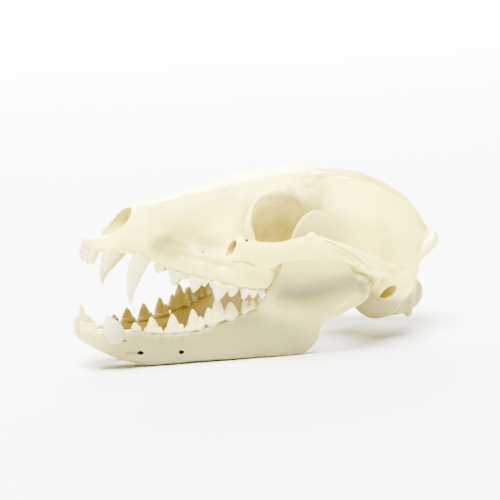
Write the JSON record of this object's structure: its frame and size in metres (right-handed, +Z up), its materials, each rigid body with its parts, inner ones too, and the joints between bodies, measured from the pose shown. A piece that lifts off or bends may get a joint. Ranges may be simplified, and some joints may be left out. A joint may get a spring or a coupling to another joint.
{
  "type": "raccoon dog skull with its lower jaw",
  "caption": "Life-size raccoon dog skull with its lower jaw, jaws open, in pale cleaned bone, standing on the lower edges of the jaw.",
  "frame": {"origin": "on the surface that the jaw stands on, below the middle of the skull's length and width", "axes": "+X towards the back of the head, +Y to the animal's right, +Z up"},
  "size_m": [0.1285, 0.0694, 0.0566],
  "materials": {
    "bone": "smooth cleaned bone, ivory, with a soft sheen"
  },
  "bodies": {
    "root": {"upper_jaw": "bone", "frontal": "bone", "braincase": "bone", "occipital": "bone", "zygomatic_arch_left": "bone", "zygomatic_arch_right": "bone", "mandible_left": "bone", "mandible_right": "bone"}
  },
  "joints": []
}
